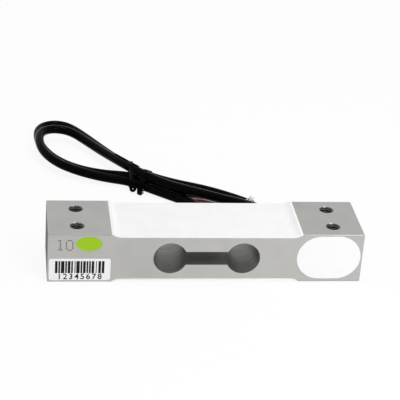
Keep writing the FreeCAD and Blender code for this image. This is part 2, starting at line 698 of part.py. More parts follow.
# Chosen points of each stripped core, after its start in the end of the jacket.
CORE_POINTS = {
    "white": [(2.9, 58, 2.3), (10, 55.2, 1.9), (17.8, 54.2, 4.4), (25.3, 57, 5.8),
              (30.8, 60.6, 3.6)],
    "red": [(2.2, 57.3, 3.3), (9, 53.6, 3.2), (17.3, 52.6, 4.9), (24.3, 54.9, 7.6),
            (30.6, 58.4, 5.4)],
    "green": [(0.6, 55.7, 1.4), (8.2, 52, 1.3), (16.8, 51, 3.4), (23.9, 52.8, 6.6),
              (30.2, 55.8, 5.6)],
    "black": [(2.2, 56.6, 0.95), (9.4, 53.2, 0.7), (17.5, 52.2, 2.4), (24.6, 54.9, 6),
              (31.4, 57.6, 3.2)]}
DRAIN_POINTS = [(2, 55.4, 2.8), (6.5, 50.8, 3), (13, 49.3, 2.2)]


def chosen(points):
    return [Vector(*point) for point in points]


def make_cable():
    solid, path, radii = tube(chosen(CABLE_POINTS), sheet.cable_diameter)
    print("cable length", round(path.Length, 1))
    print("cable arc radii", [round(radius, 1) for radius in radii])
    node("cable_jacket", feature("cable_jacket", solid))
    return path


def make_free_cores():
    """The four cores, their tinned ends and the drain wire, from the end of the jacket on."""
    finish = Vector(*CABLE_POINTS[-1])
    along = (finish - Vector(*CABLE_POINTS[-2])).normalize()
    across = Vector(-along.y, along.x, 0).normalize()
    tips = []
    for colour, (side, up) in zip(CORE_COLOURS, core_places()):
        start = finish + across * side + Vector(0, 0, up)
        points = [start, start + along * sheet.core_lead] + chosen(CORE_POINTS[colour])
        solid, path, radii = tube(points, sheet.core_diameter)
        print(colour, "core length", round(path.Length, 1), "radii", [round(r, 1) for r in radii])
        node(f"core_{colour}", feature(f"core_{colour}", solid))
        ahead = (points[-1] - points[-2]).normalize()
        tips.append(Part.makeCylinder(sheet.tip_diameter / 2, sheet.tip_length, points[-1], ahead))
    node("core_tips", feature("core_tips", Part.makeCompound(tips)))
    points = [finish, finish + along * sheet.core_lead] + chosen(DRAIN_POINTS)
    solid, path, radii = tube(points, sheet.drain_diameter)
    print("drain wire length", round(path.Length, 1), "radii", [round(r, 1) for r in radii])
    node("shield_wire", feature("shield_wire", solid))


TIE_MIDDLE = Vector(-20.5, 75.65, 0)
TIE_AXIS = Vector(0.73, -0.685, 0).normalize()
TIE_REACH = 12


def make_twist_tie(path):
    """Plastic strip round the strands where they lie side by side, with its ends twisted."""
    across = Vector(-TIE_AXIS.y, TIE_AXIS.x, 0)
    points = path.discretize(Distance=0.25)
    strands = []
    for first, second in zip(points, points[1:]):
        near = (first - TIE_MIDDLE).dot(TIE_AXIS)
        far = (second - TIE_MIDDLE).dot(TIE_AXIS)
        if near * far <= 0 and (first - TIE_MIDDLE).Length < TIE_REACH:
            strands.append(Vector((first - TIE_MIDDLE).dot(across), first.z, 0))
    strands.sort(key=lambda strand: strand.x)
    top = max(strands, key=lambda strand: strand.y)
    triangle = Part.makePolygon([strands[0], strands[-1], top, strands[0]])
    slack = sheet.cable_diameter / 2 + sheet.tie_clearance
    inside = triangle.makeOffset2D(slack)
    outside = triangle.makeOffset2D(slack + sheet.tie_thickness)
    ring = Part.Face(outside).cut(Part.Face(inside)).Faces[0]
    band = ring.extrude(Vector(0, 0, sheet.tie_width))
    near_side = TIE_MIDDLE - TIE_AXIS * sheet.tie_width / 2
    frame = FreeCAD.Matrix(across.x, 0, TIE_AXIS.x, near_side.x,
                           across.y, 0, TIE_AXIS.y, near_side.y,
                           0, 1, 0, 0,
                           0, 0, 0, 1)
    band.Placement = FreeCAD.Placement(frame)
    edge = strands[0].x - slack - sheet.tie_thickness / 2
    start = TIE_MIDDLE + across * edge + Vector(0, 0, strands[0].y)
    twist = Part.makeCylinder(sheet.tie_twist_diameter / 2, sheet.tie_twist_length,
                              start - across * sheet.tie_twist_diameter / 2, Vector(0.6, -0.8, 0))
    return node("twist_tie", feature("twist_tie", band.fuse(twist)))


# ---- build, test and write ---------------------------------------------------------------------

make_beam()
gauges = {side: [make_gauge(side, hand) for hand in (-1, 1)] for side in ("top", "bottom")}
boards = {side: make_board(side) for side in ("top", "bottom")}
resistors = make_resistors()
leads = {side: make_gauge_leads(side) for side in ("top", "bottom")}
link_ribbon = make_link_ribbon()
tails = make_tails()
solder = {side: make_solder(side) for side in ("top", "bottom")}
for side in ("top", "bottom"):
    buried = gauges[side] + [boards[side], leads[side], link_ribbon, solder[side]]
    if side == "top":
        buried += [resistors, tails]
    make_sealant(side, buried)
make_entry_seal()
make_cable_root()
inner_cores = make_inner_cores()
make_potting(inner_cores + [tails])
make_barcode_label()
make_approval_sticker()
make_blank_label()
cable_path = make_cable()
make_free_cores()
make_twist_tie(cable_path)
doc.recompute()

for item in doc.Objects:
    if "Invalid" in item.State or "Error" in item.State:
        raise RuntimeError(f"{item.Label} failed: {item.State}")
for item in nodes:
    if item.Shape.isNull() or not item.Shape.isValid() or not item.Shape.Solids:
        raise RuntimeError(f"{item.Label} has no valid solid")

os.makedirs("parts", exist_ok=True)
for item in nodes:
    item.Shape.exportStep(f"parts/{item.Label}.step")
    print(f"{item.Label:24s} {len(item.Shape.Solids):2d} solids {item.Shape.Volume:10.2f} mm3")
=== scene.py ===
import math

import bpy
from mathutils import Matrix, Vector


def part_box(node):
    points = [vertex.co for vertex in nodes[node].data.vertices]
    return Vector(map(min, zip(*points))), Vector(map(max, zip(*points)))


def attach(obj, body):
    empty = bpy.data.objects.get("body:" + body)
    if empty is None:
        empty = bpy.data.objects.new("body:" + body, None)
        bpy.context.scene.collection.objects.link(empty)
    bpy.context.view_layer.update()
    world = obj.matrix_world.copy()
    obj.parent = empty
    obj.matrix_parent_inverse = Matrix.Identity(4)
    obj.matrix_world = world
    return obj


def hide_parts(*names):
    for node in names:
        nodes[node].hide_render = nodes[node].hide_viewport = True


# Single point load cell on a pale floor: the finishes of the milled bar, its silicone coats, labels
# and sticker, the threads in its tapped holes, and the tied signal cable with its stripped cores.
# Everything is in metres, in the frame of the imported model: +X to the load end, +Y to the face that
# the cable leaves, +Z up.

MM = 0.001

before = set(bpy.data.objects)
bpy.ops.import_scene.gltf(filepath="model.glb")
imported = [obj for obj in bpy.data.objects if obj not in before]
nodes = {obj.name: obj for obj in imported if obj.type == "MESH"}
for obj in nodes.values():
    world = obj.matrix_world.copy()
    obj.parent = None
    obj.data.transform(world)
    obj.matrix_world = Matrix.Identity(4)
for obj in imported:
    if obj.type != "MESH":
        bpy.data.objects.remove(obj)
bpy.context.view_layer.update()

beam_low, beam_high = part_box("beam")
beam_middle = (beam_low + beam_high) / 2
front_face = beam_low.y
back_face = beam_high.y
top_face = beam_high.z
half_height = beam_middle.z - beam_low.z

# Cuts of the bar that the finishes, threads and punches line up with.
BORE_X = 15 * MM
BORE_RADIUS = 7 * MM
SLOT_HEIGHT = 6 * MM
SCREW_X = 53 * MM
SCREW_Y = 7.5 * MM
SCREWS = [(x * SCREW_X, y * SCREW_Y) for x in (-1, 1) for y in (-1, 1)]
THREAD_ROOT = 3.0 * MM
THREAD_CREST = 2.5 * MM
THREAD_PITCH = 1.0 * MM
PUNCH_AREA = (-63 * MM, -53 * MM)


# ---- camera ------------------------------------------------------------------------------------

CAMERA_PLACE = (-82.38 * MM, -539.03 * MM, 306.95 * MM)
CAMERA_TURNS = (-8.44, 26.93, 4.16)
CAMERA_LENS = 133.5


def add_camera():
    """A long lens that looks along the bar's front from its left, tipped down."""
    yaw, pitch, roll = (math.radians(turn) for turn in CAMERA_TURNS)
    forward = Vector((-math.sin(yaw) * math.cos(pitch), math.cos(yaw) * math.cos(pitch),
                      -math.sin(pitch)))
    level = Vector((math.cos(yaw), math.sin(yaw), 0))
    upright = level.cross(forward)
    right = math.cos(roll) * level + math.sin(roll) * upright
    up = math.cos(roll) * upright - math.sin(roll) * level
    data = bpy.data.cameras.new("camera")
    data.lens = CAMERA_LENS
    data.sensor_width = 36
    data.clip_end = 20
    camera = bpy.data.objects.new("camera", data)
    turn = Matrix((right, up, -forward)).transposed().to_4x4()
    camera.matrix_world = Matrix.Translation(CAMERA_PLACE) @ turn
    bpy.context.collection.objects.link(camera)
    bpy.context.scene.camera = camera


add_camera()
bpy.context.scene.view_settings.view_transform = "Standard"


# ---- finishes ----------------------------------------------------------------------------------

class Value:
    """A socket's output. Arithmetic on it adds Math nodes."""

    def __init__(self, finish, socket):
        self.finish = finish
        self.socket = socket

    def math(self, operation, *others):
        return self.finish.node("ShaderNodeMath", {"operation": operation}, (self, *others))

    def __add__(self, other):
        return self.math("ADD", other)

    def __sub__(self, other):
        return self.math("SUBTRACT", other)

    def __mul__(self, other):
        return self.math("MULTIPLY", other)

    def __pow__(self, other):
        return self.math("POWER", other)

    def __lt__(self, other):
        return self.math("LESS_THAN", other)

    def __gt__(self, other):
        return self.math("GREATER_THAN", other)

    def __abs__(self):
        return self.math("ABSOLUTE")

    def __rsub__(self, other):
        return self.finish.node("ShaderNodeMath", {"operation": "SUBTRACT"}, (other, self))

    __radd__ = __add__
    __rmul__ = __mul__


class Finish:
    """One material and the nodes that make its pattern."""

    def __init__(self, name, **sockets):
        self.material = bpy.data.materials.new(name)
        self.material.use_nodes = True
        self.tree = self.material.node_tree
        self.shader = self.tree.nodes["Principled BSDF"]
        self.place = self.node("ShaderNodeTexCoord", output="Object")
        for socket, value in sockets.items():
            self.set(socket.replace("_", " "), value)

    def node(self, kind, settings=None, inputs=(), output=0):
        """Adds a node. Its settings come first, then the values or links of its sockets."""
        made = self.tree.nodes.new(kind)
        for name, value in (settings or {}).items():
            setattr(made, name, value)
        named = inputs.items() if isinstance(inputs, dict) else enumerate(inputs)
        for name, value in named:
            if isinstance(value, Value):
                self.tree.links.new(value.socket, made.inputs[name])
            else:
                made.inputs[name].default_value = value
        return Value(self, made.outputs[output])

    def set(self, socket, value):
        """Sets or links a socket of the surface shader."""
        target = self.shader.inputs[socket]
        if isinstance(value, Value):
            self.tree.links.new(value.socket, target)
        else:
            target.default_value = value

    def noise(self, size, detail=3.0, stretch=(1, 1, 1), rough=0.5):
        """Cloudy pattern whose features are about size metres across, drawn out by stretch."""
        scale = tuple(1 / (size * factor) for factor in stretch)
        drawn_out = self.node("ShaderNodeMapping", {}, {"Vector": self.place, "Scale": scale})
        return self.node("ShaderNodeTexNoise", {},
                         {"Vector": drawn_out, "Scale": 1.0, "Detail": detail,
                          "Roughness": rough})

    def reach(self, across, up):
        """Distance from an axis, from the two distances square to it."""
        return (across * across + up * up) ** 0.5

    def part(self, axis):
        """One coordinate of the place on the piece."""
        return self.node("ShaderNodeSeparateXYZ", {}, (self.place,), axis)

    def blend(self, factor, first, second):
        """Mixes two colours."""
        colours = [(*c, 1) if isinstance(c, tuple) else c for c in (first, second)]
        return self.node("ShaderNodeMix", {"data_type": "RGBA"},
                         {0: factor, 6: colours[0], 7: colours[1]}, 2)

    def span(self, value, low, high, first=0.0, last=1.0):
        """Rescales a value from one span to another, held at both ends."""
        return self.node("ShaderNodeMapRange", {}, (value, low, high, first, last))

    def bump(self, pattern, depth, strength=1.0):
        """Relief that is depth metres deep."""
        self.set("Normal", self.node("ShaderNodeBump", {},
                                     {"Height": pattern, "Distance": depth,
                                      "Strength": strength}))
        return self


def grey(level):
    return (level, level, level)


def milled_aluminium():
    """Bar stock: satin drawn sides, fly-cut top and underside, sawn ends, rings in the bores. Painted
    shade: the top and underside are a darker copy of the side colour, and the ends, the long edge
    chamfers, the bores and slot, the tapped holes and the punched dots are painted dark as their
    shade.

    The masks are 1 in one part of the bar. Their margins keep them off the faces next to it.
    """
    finish = Finish("milled_aluminium")
    x, y, z = (finish.part(axis) for axis in "XYZ")
    rise = z - beam_middle.z
    bore_reach = finish.reach(abs(x) - BORE_X, rise)
    in_bore = finish.span(bore_reach, BORE_RADIUS + 0.4 * MM, BORE_RADIUS + 0.1 * MM)
    in_slot = (abs(rise) < SLOT_HEIGHT / 2 + 0.1 * MM) * (abs(x) < BORE_X)
    inside = in_bore.math("MAXIMUM", in_slot) * (abs(y) < back_face - 0.05 * MM)
    screw_reach = finish.reach(abs(x) - SCREW_X, abs(y) - SCREW_Y)
    tapped = (screw_reach < THREAD_ROOT + 0.1 * MM) * (abs(rise) < half_height - 0.4 * MM)
    rim = (abs(y) > back_face - 0.45 * MM) * (abs(rise) > half_height - 0.45 * MM)
    punched = ((y < front_face + 0.5 * MM) * (y > front_face + 0.02 * MM)
               * (x < PUNCH_AREA[1]) * (x > PUNCH_AREA[0])
               * (rise > 0) * (abs(rise) < half_height - 1.5 * MM))
    flat = abs(rise) > half_height - 0.05 * MM
    sawn = abs(x) > beam_high.x - 0.05 * MM
    grain = finish.noise(0.16 * MM, 4)
    drawn = finish.noise(0.14 * MM, 3, (60, 60, 1))
    cutter = finish.noise(0.3 * MM, 3, (1, 40, 40))
    rings = finish.noise(0.35 * MM, 2, (40, 1, 40))
    blotch = finish.noise(9 * MM, 3)
    side = drawn * 0.6 + grain * 0.4
    face = cutter * 0.5 + grain * 0.5
    pattern = side * (1 - flat) + face * flat
    pattern = pattern * (1 - inside) + rings * inside
    shade = finish.span(pattern * 0.6 + blotch * 0.4, 0.3, 0.7)
    # Painted shade: the sides get the lighter copy of this colour, and the top and underside get a
    # darker copy of it.
    bright = finish.blend(shade, (0.45, 0.446, 0.43), (0.53, 0.525, 0.505))
    milled_and_painted_shade = finish.blend(shade, (0.34, 0.34, 0.326), (0.41, 0.41, 0.396))
    # Turned rings in the bores and slot, on a base painted dark as the shade inside them.
    bore_rings_and_painted_shade = finish.blend(finish.span(rings, 0.3, 0.7), (0.16, 0.163, 0.155), (0.32, 0.322, 0.305))
    # Painted shade: the end faces are painted very dark.
    ends = finish.blend(shade, (0.09, 0.09, 0.089), (0.13, 0.13, 0.128))
    colour = finish.blend(flat, bright, milled_and_painted_shade)
    colour = finish.blend(sawn, colour, ends)
    # Painted shade on the long edge chamfers, which dims their reflection.
    colour = finish.blend(rim * 0.6, colour, grey(0.22))
    colour = finish.blend(inside, colour, bore_rings_and_painted_shade)
    # Painted shade in the punched dots.
    colour = finish.blend(punched, colour, grey(0.13))
    # Painted shade on the walls of the tapped holes.
    finish.set("Base Color", finish.blend(tapped, colour, grey(0.06)))
    # The end faces get little metal, which keeps their painted shade dark.
    finish.set("Metallic", 0.85 - sawn * 0.65)
    finish.set("Roughness", finish.span(pattern, 0.3, 0.7, 0.38, 0.5) + sawn * 0.3)
    return finish.bump(pattern, 0.02 * MM, 0.35).material


def thread_metal():
    finish = Finish("cut_thread", Metallic=1.0)
    wear = finish.noise(0.6 * MM, 3)
    # Painted shade: the thread metal gets a very dark base, as the shade inside the holes; the wear
    # noise only varies it.
    finish.set("Base Color", finish.blend(wear, grey(0.07), grey(0.16)))
    finish.set("Roughness", finish.span(wear, 0.3, 0.7, 0.2, 0.32))
    return finish.material


def silicone():
    """Cured white sealant: matt, with soft waves and a few fine specks."""
    finish = Finish("white_silicone")
    wave = finish.noise(7 * MM, 2)
    fine = finish.noise(0.8 * MM, 3)
    finish.set("Base Color", finish.blend(finish.span(wave * 0.7 + fine * 0.3, 0.35, 0.65),
                                          (0.86, 0.87, 0.865), (0.9, 0.905, 0.9)))
    finish.set("Roughness", finish.span(fine, 0.3, 0.7, 0.45, 0.6))
    return finish.bump(wave * 0.8 + fine * 0.2, 0.05 * MM, 0.4).material


def black_plastic(name, sheen):
    """Black PVC of the cable: a soft sheen, faint drawing marks and a little dust."""
    finish = Finish(name, Specular_IOR_Level=sheen)
    marks = finish.noise(0.5 * MM, 3)
    dust = finish.noise(2.5 * MM, 4, rough=0.7)
    finish.set("Base Color", finish.blend(finish.span(dust, 0.5, 0.8), (0.0008, 0.0008, 0.0009),
                                          (0.003, 0.003, 0.0033)))
    finish.set("Roughness", finish.span(marks, 0.3, 0.7, 0.16, 0.22))
    return finish.bump(marks, 0.03 * MM, 0.2).material


def core_plastic(name, colour):
    """Insulation of a core: soft coloured PVC, slightly darker where it was handled."""
    finish = Finish(name, Specular_IOR_Level=0.45)
    wear = finish.noise(1.2 * MM, 3)
    dark = tuple(0.7 * channel for channel in colour)
    finish.set("Base Color", finish.blend(finish.span(wear, 0.35, 0.7), dark, colour))
    finish.set("Roughness", finish.span(wear, 0.3, 0.7, 0.35, 0.5))
    return finish.bump(wear, 0.02 * MM, 0.3).material


def bare_metal(name, colour):
    """Tin, solder or copper: bright, with small dull patches."""
    finish = Finish(name, Metallic=1.0)
    patch = finish.noise(0.3 * MM, 4)
    dull = tuple(0.75 * channel for channel in colour)
    finish.set("Base Color", finish.blend(finish.span(patch, 0.35, 0.65), dull, colour))
    finish.set("Roughness", finish.span(patch, 0.3, 0.7, 0.2, 0.4))
    return finish.bump(patch, 0.01 * MM, 0.3).material


def label_paper():
    """White satin label stock with the faintest fibre."""
    finish = Finish("label_paper")
    fibre = finish.noise(0.25 * MM, 4)
    finish.set("Base Color", finish.blend(finish.span(fibre, 0.3, 0.7), (0.85, 0.85, 0.86),
                                          (0.89, 0.89, 0.895)))
    finish.set("Roughness", finish.span(fibre, 0.3, 0.7, 0.42, 0.52))
    return finish.bump(fibre, 0.004 * MM, 0.3).material


def printing_ink():
    """Black thermal print, slightly uneven."""
    finish = Finish("printing_ink", Specular_IOR_Level=0.1)
    gaps = finish.noise(0.12 * MM, 3)
    finish.set("Base Color", finish.blend(finish.span(gaps, 0.45, 0.75), (0.006, 0.006, 0.007),
                                          (0.03, 0.03, 0.033)))
    finish.set("Roughness", finish.span(gaps, 0.3, 0.7, 0.4, 0.6))
    return finish.material


def green_foil():
    """Bright yellow-green sticker foil, very slightly mottled."""
    finish = Finish("green_foil", Specular_IOR_Level=0.15)
    fine = finish.noise(0.4 * MM, 3)
    finish.set("Base Color", finish.blend(finish.span(fine, 0.3, 0.7), (0.3, 0.53, 0.012),
                                          (0.35, 0.6, 0.02)))
    finish.set("Roughness", finish.span(fine, 0.3, 0.7, 0.35, 0.45))
    return finish.bump(fine, 0.004 * MM, 0.3).material


def amber_film():
    """Polyimide film of the gauges and terminal boards."""
    finish = Finish("amber_film")
    weave = finish.noise(0.2 * MM, 3)
    finish.set("Base Color", finish.blend(weave, (0.42, 0.2, 0.04), (0.6, 0.32, 0.08)))
    finish.set("Roughness", finish.span(weave, 0.3, 0.7, 0.25, 0.4))
    return finish.material


def potting_resin():
    finish = Finish("potting_resin")
    cloud = finish.noise(1.5 * MM, 3)
    finish.set("Base Color", finish.blend(cloud, (0.7, 0.64, 0.48), (0.82, 0.77, 0.62)))
    finish.set("Roughness", finish.span(cloud, 0.3, 0.7, 0.2, 0.35))
    return finish.bump(cloud, 0.03 * MM, 0.3).material


def fired_ceramic():
    finish = Finish("fired_ceramic")
    speck = finish.noise(0.1 * MM, 3)
    finish.set("Base Color", finish.blend(speck, (0.02, 0.02, 0.022), (0.06, 0.06, 0.065)))
    finish.set("Roughness", finish.span(speck, 0.3, 0.7, 0.35, 0.5))
    return finish.material


ALUMINIUM = milled_aluminium()
THREAD = thread_metal()
SILICONE = silicone()
JACKET = black_plastic("black_jacket", 0.025)
TIE_PLASTIC = black_plastic("black_tie", 0.03)
TIN = bare_metal("tinned_copper", (0.6, 0.59, 0.575))
COPPER = bare_metal("bare_copper", (0.8, 0.42, 0.25))
PAPER = label_paper()
INK = printing_ink()
GREEN = green_foil()
FILM = amber_film()
RESIN = potting_resin()
CERAMIC = fired_ceramic()
CORES = {"white": core_plastic("white_core", (0.72, 0.72, 0.74)),
         "red": core_plastic("red_core", (0.36, 0.022, 0.06)),
         "green": core_plastic("green_core", (0.03, 0.3, 0.09)),
         "black": core_plastic("black_core", (0.003, 0.003, 0.004))}

NODE_FINISHES = {
    "beam": ALUMINIUM, "top_sealant": SILICONE, "bottom_sealant": SILICONE,
    "gauge_top_left": FILM, "gauge_top_right": FILM, "gauge_bottom_left": FILM,
    "gauge_bottom_right": FILM, "top_terminal_board": FILM, "bottom_terminal_board": FILM,
    "balance_resistors": CERAMIC, "gauge_leads_top": COPPER, "gauge_leads_bottom": COPPER,
    "link_ribbon": COPPER, "conductor_tails": TIN, "solder_joints_top": TIN,
    "solder_joints_bottom": TIN, "entry_seal": SILICONE, "cable_root": JACKET,
    "inner_core_white": CORES["white"], "inner_core_red": CORES["red"],
    "inner_core_green": CORES["green"], "inner_core_black": CORES["black"],
    "core_potting": RESIN, "barcode_label": PAPER, "approval_sticker": GREEN,
    "blank_label": PAPER, "cable_jacket": JACKET, "core_white": CORES["white"],
    "core_red": CORES["red"], "core_green": CORES["green"], "core_black": CORES["black"],
    "core_tips": TIN, "shield_wire": TIN, "twist_tie": TIE_PLASTIC}

for name, finish in NODE_FINISHES.items():
    nodes[name].data.materials.clear()
    nodes[name].data.materials.append(finish)


# ---- modelling helpers -------------------------------------------------------------------------

def only(piece):
    """Selects one piece and makes it active."""
    bpy.ops.object.select_all(action="DESELECT")
    piece.hide_viewport = False
    piece.select_set(True)
    bpy.context.view_layer.objects.active = piece
    return piece


def added(name):
    piece = bpy.context.active_object
    piece.name = name
    piece.data.name = name
    return piece


def apply_place(piece):
    only(piece)
    bpy.ops.object.transform_apply(location=True, rotation=True, scale=True)
    return piece


def join(pieces, name):
    bpy.ops.object.select_all(action="DESELECT")
    for piece in pieces:
        piece.select_set(True)
    bpy.context.view_layer.objects.active = pieces[0]
    bpy.ops.object.join()
    return added(name)


def apply_modifier(piece, kind, **settings):
    only(piece)
    modifier = piece.modifiers.new(kind.lower(), kind)
    for name, value in settings.items():
        setattr(modifier, name, value)
    bpy.ops.object.modifier_apply(modifier=modifier.name)
    return piece


def smooth(piece, degrees=35):
    only(piece)
    bpy.ops.object.shade_smooth_by_angle(angle=math.radians(degrees))
    return piece


def dress(piece, finish, slot, *replaced):
    """Gives a finished piece its material and its body, and hides the parts that it replaces. The
    slot is not used.
    """
    piece.data.materials.clear()
    piece.data.materials.append(finish)
    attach(piece, "root")
    if replaced:
        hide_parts(*replaced)
    return piece


def mesh_copy(node, name):
    """Copy of a CAD node's mesh with its doubled points merged."""
    piece = nodes[node].copy()
    piece.data = nodes[node].data.copy()
    piece.name = name
    piece.parent = None
    for key in list(piece.keys()):
        del piece[key]
    bpy.context.collection.objects.link(piece)
    only(piece)
    bpy.ops.object.mode_set(mode="EDIT")
    bpy.ops.mesh.select_all(action="SELECT")
    bpy.ops.mesh.remove_doubles(threshold=0.001 * MM)
    bpy.ops.object.mode_set(mode="OBJECT")
    return piece


# ---- cable, cores and drain wire ---------------------------------------------------------------

CABLE_DIAMETER = 4.2 * MM
CABLE_POINTS = [
    (30, 15, 11), (30, 26, 11), (27.3, 37.6, 7.9), (17, 46.5, 6.3), (3, 54.6, 6.3),
    (-10.5, 62.4, 6.4), (-22.5, 73.8, 7.3), (-35.5, 98.4, 4.6), (-43, 111.6, 4.2),
    (-50.5, 121.2, 5.2), (-59, 122.2, 6.1), (-65.2, 117.2, 6.5), (-66.2, 107, 6.3),
    (-64, 96.2, 5.5), (-58, 86.7, 4.7), (-49, 79.8, 4), (-37.5, 75, 3.1), (-24.5, 71.4, 2.9),
    (-12.5, 62.7, 2.1), (1.6, 51.2, 2.1), (8.8, 34, 2.1), (18.5, 23.6, 2.1), (27, 20, 2.1),
    (34, 23.6, 2.1), (36, 33, 2.1), (32.3, 42.8, 2.1), (28.8, 50.2, 2.1), (22.6, 55.9, 2.1),
    (10, 64.8, 2.1), (-6, 71.9, 2.1), (-18.5, 79.2, 2.8), (-28.2, 94.2, 2.1),
    (-36.2, 108, 2.1), (-43.3, 121, 2.1), (-50.2, 132.4, 2.1), (-56.4, 136, 2.1),
    (-62.6, 134.4, 2.1), (-66.2, 128.6, 2.1), (-66.3, 118.6, 2.1), (-64.2, 107.2, 2.1),
    (-59, 96.2, 2.1), (-50.5, 86.8, 2.1), (-38.5, 80.6, 2.1), (-22.5, 76.9, 2.8),
    (-12.2, 69.3, 2.1), (-5.2, 62, 2.1), (-0.4, 58.1, 2.1)]

# Points of the routes, the circle that the cores lie on in the jacket and their straight lead
# are in millimetres.
CORE_DIAMETER = 1.1 * MM
CORE_CIRCLE = 1.7
CORE_TURN = 200
CORE_LEAD = 1.2
CORE_POINTS = {
    "red": [(4.6, 54.2, 2), (8.5, 53.2, 2), (12.6, 50.6, 2.1), (17, 45.2, 2.3),
              (22.5, 44.3, 3.2), (26.2, 47.5, 3.8)],
    "green": [(5, 54.3, 0.7), (9, 53.9, 0.8), (13.2, 51.6, 1), (17.3, 46.3, 1.7),
              (22, 45.2, 3.1), (25.5, 48.4, 3.9)],
    "white": [(5.6, 55.3, 2.5), (9.4, 54.7, 2.3), (13.6, 52.3, 2.2), (17.6, 46.7, 2.9),
            (22, 45.5, 4.4), (25.4, 48.6, 5)],
    "black": [(4.8, 55.5, 3.6), (8.9, 53.9, 3.4), (13, 51.3, 3.2), (17.2, 45.6, 3.5),
              (22.5, 44.5, 4.4), (26.1, 47.5, 4.95)]}
DRAIN_POINTS = [(5.6, 53.8, 3.1), (9.6, 52.2, 3.1), (15, 47.3, 3.6)]
DRAIN_DIAMETER = 0.4 * MM

TIP_LENGTH = 4.8 * MM
TIP_SUNK = 0.3 * MM
TIP_STEPS = 10
TIP_WIRE = 0.22 * MM
TIP_CIRCLE = 0.2 * MM
TIP_TURNS = 0.8


def cord_curve(name, points, diameter, sides=8):
    """Round cord on one smooth spline that has the route's points as its control points."""
    data = bpy.data.curves.new(name, "CURVE")
    data.dimensions = "3D"
    data.resolution_u = 12
    data.bevel_depth = diameter / 2
    data.bevel_resolution = sides
    data.use_fill_caps = True
    spline = data.splines.new("NURBS")
    spline.points.add(len(points) - 1)
    for place, point in zip(spline.points, points):
        place.co = (*(value * MM for value in point), 1)
    spline.order_u = 3
    spline.use_endpoint_u = True
    piece = bpy.data.objects.new(name, data)
    bpy.context.collection.objects.link(piece)
    return piece


def spline_line(points):
    """Points in order along the smooth line that a route gives."""
    curve = cord_curve("measure", points, 0)
    line = bpy.data.meshes.new_from_object(
        curve.evaluated_get(bpy.context.evaluated_depsgraph_get()))
    bpy.data.objects.remove(curve)
    return [vertex.co.copy() for vertex in line.vertices]


def core_routes():
    """Route of each core from its place in the end of the jacket, straight out and then free."""
    finish = Vector(CABLE_POINTS[-1])
    along = (finish - Vector(CABLE_POINTS[-2])).normalized()
    across = Vector((-along.y, along.x, 0))
    routes = {}
    for index, (colour, points) in enumerate(CORE_POINTS.items()):
        angle = math.radians(CORE_TURN + 90 * index)
        start = (finish + across * CORE_CIRCLE / 2 * math.cos(angle)
                 + Vector((0, 0, CORE_CIRCLE / 2 * math.sin(angle))))
        routes[colour] = [tuple(start), tuple(start + along * CORE_LEAD)] + points
    return routes, [tuple(finish), tuple(finish + along * CORE_LEAD)] + DRAIN_POINTS


def twisted_wires(name, line, spread, diameter, turns, wires=6):
    """Fine wires laid round a middle one along a line, and fraying over its last third."""
    along = (line[-1] - line[0]).normalized()
    side = along.cross(Vector((0, 0, 1))).normalized()
    up = side.cross(along)
    strands = [cord_curve(f"{name}_0", [tuple(point / MM) for point in line], diameter, 2)]
    for wire in range(wires):
        points = []
        for index, point in enumerate(line):
            share = index / (len(line) - 1)
            angle = math.tau * (wire / wires + turns * share)
            fray = spread * (1 + 0.5 * max(0, share - 0.7))
            points.append(tuple((point + fray * (math.cos(angle) * side
                                                 + math.sin(angle) * up)) / MM))
        strands.append(cord_curve(f"{name}_{wire + 1}", points, diameter, 2))
    return strands


def as_mesh(curve):
    """Turns a curve object into a mesh object of the same name."""
    only(curve)
    bpy.ops.object.convert(target="MESH")
    return curve


def add_tips(routes):
    """Stripped and tinned end of each core: fine wires twisted together and dipped in solder."""
    wires = []
    for colour, route in routes.items():
        start = Vector(route[-1]) * MM
        ahead = (start - Vector(route[-2]) * MM).normalized()
        line = [start + ahead * (TIP_LENGTH * step / TIP_STEPS - TIP_SUNK)
                for step in range(TIP_STEPS + 1)]
        wires += twisted_wires(f"tip_{colour}", line, TIP_CIRCLE, TIP_WIRE, TIP_TURNS)
    tips = join([as_mesh(wire) for wire in wires], "tinned_tips")
    return dress(smooth(tips, 40), TIN, "tin", "core_tips")


def add_cords():
    cable = cord_curve("cable", CABLE_POINTS, CABLE_DIAMETER)
    dress(cable, JACKET, "jacket", "cable_jacket")
    routes, drain_route = core_routes()
    drain = cord_curve("drain_wire", drain_route, DRAIN_DIAMETER, 4)
    dress(drain, TIN, "tin", "shield_wire")
    tips = add_tips(routes)
    tie = add_twist_tie()
    for colour, route in routes.items():
        core = cord_curve(f"{colour}_core", route, CORE_DIAMETER, 5)
        dress(core, CORES[colour], f"core_{colour}", f"core_{colour}")
        tuple(value * MM for value in route[0])


# ---- twist tie ---------------------------------------------------------------------------------

TIE_WIDTH = 1.7 * MM
TIE_THICKNESS = 0.4 * MM
TIE_WIRE = 0.75 * MM
TIE_GAP = 0.05 * MM
TIE_STEPS = 72
TWIST_WIDTH = TIE_WIDTH * 1.7
TWIST_THICKNESS = TIE_THICKNESS * 2.6
TWIST_TURNS = 1.1
CURL_STEPS = 40
CURL_INNER = 0.25 * MM
CURL_OUTER = 1.6 * MM
CURL_TURNS = 2.3
TAIL_FROM = 74.5 * MM
TAIL_TO = 91 * MM
TAIL_LEAN = 50


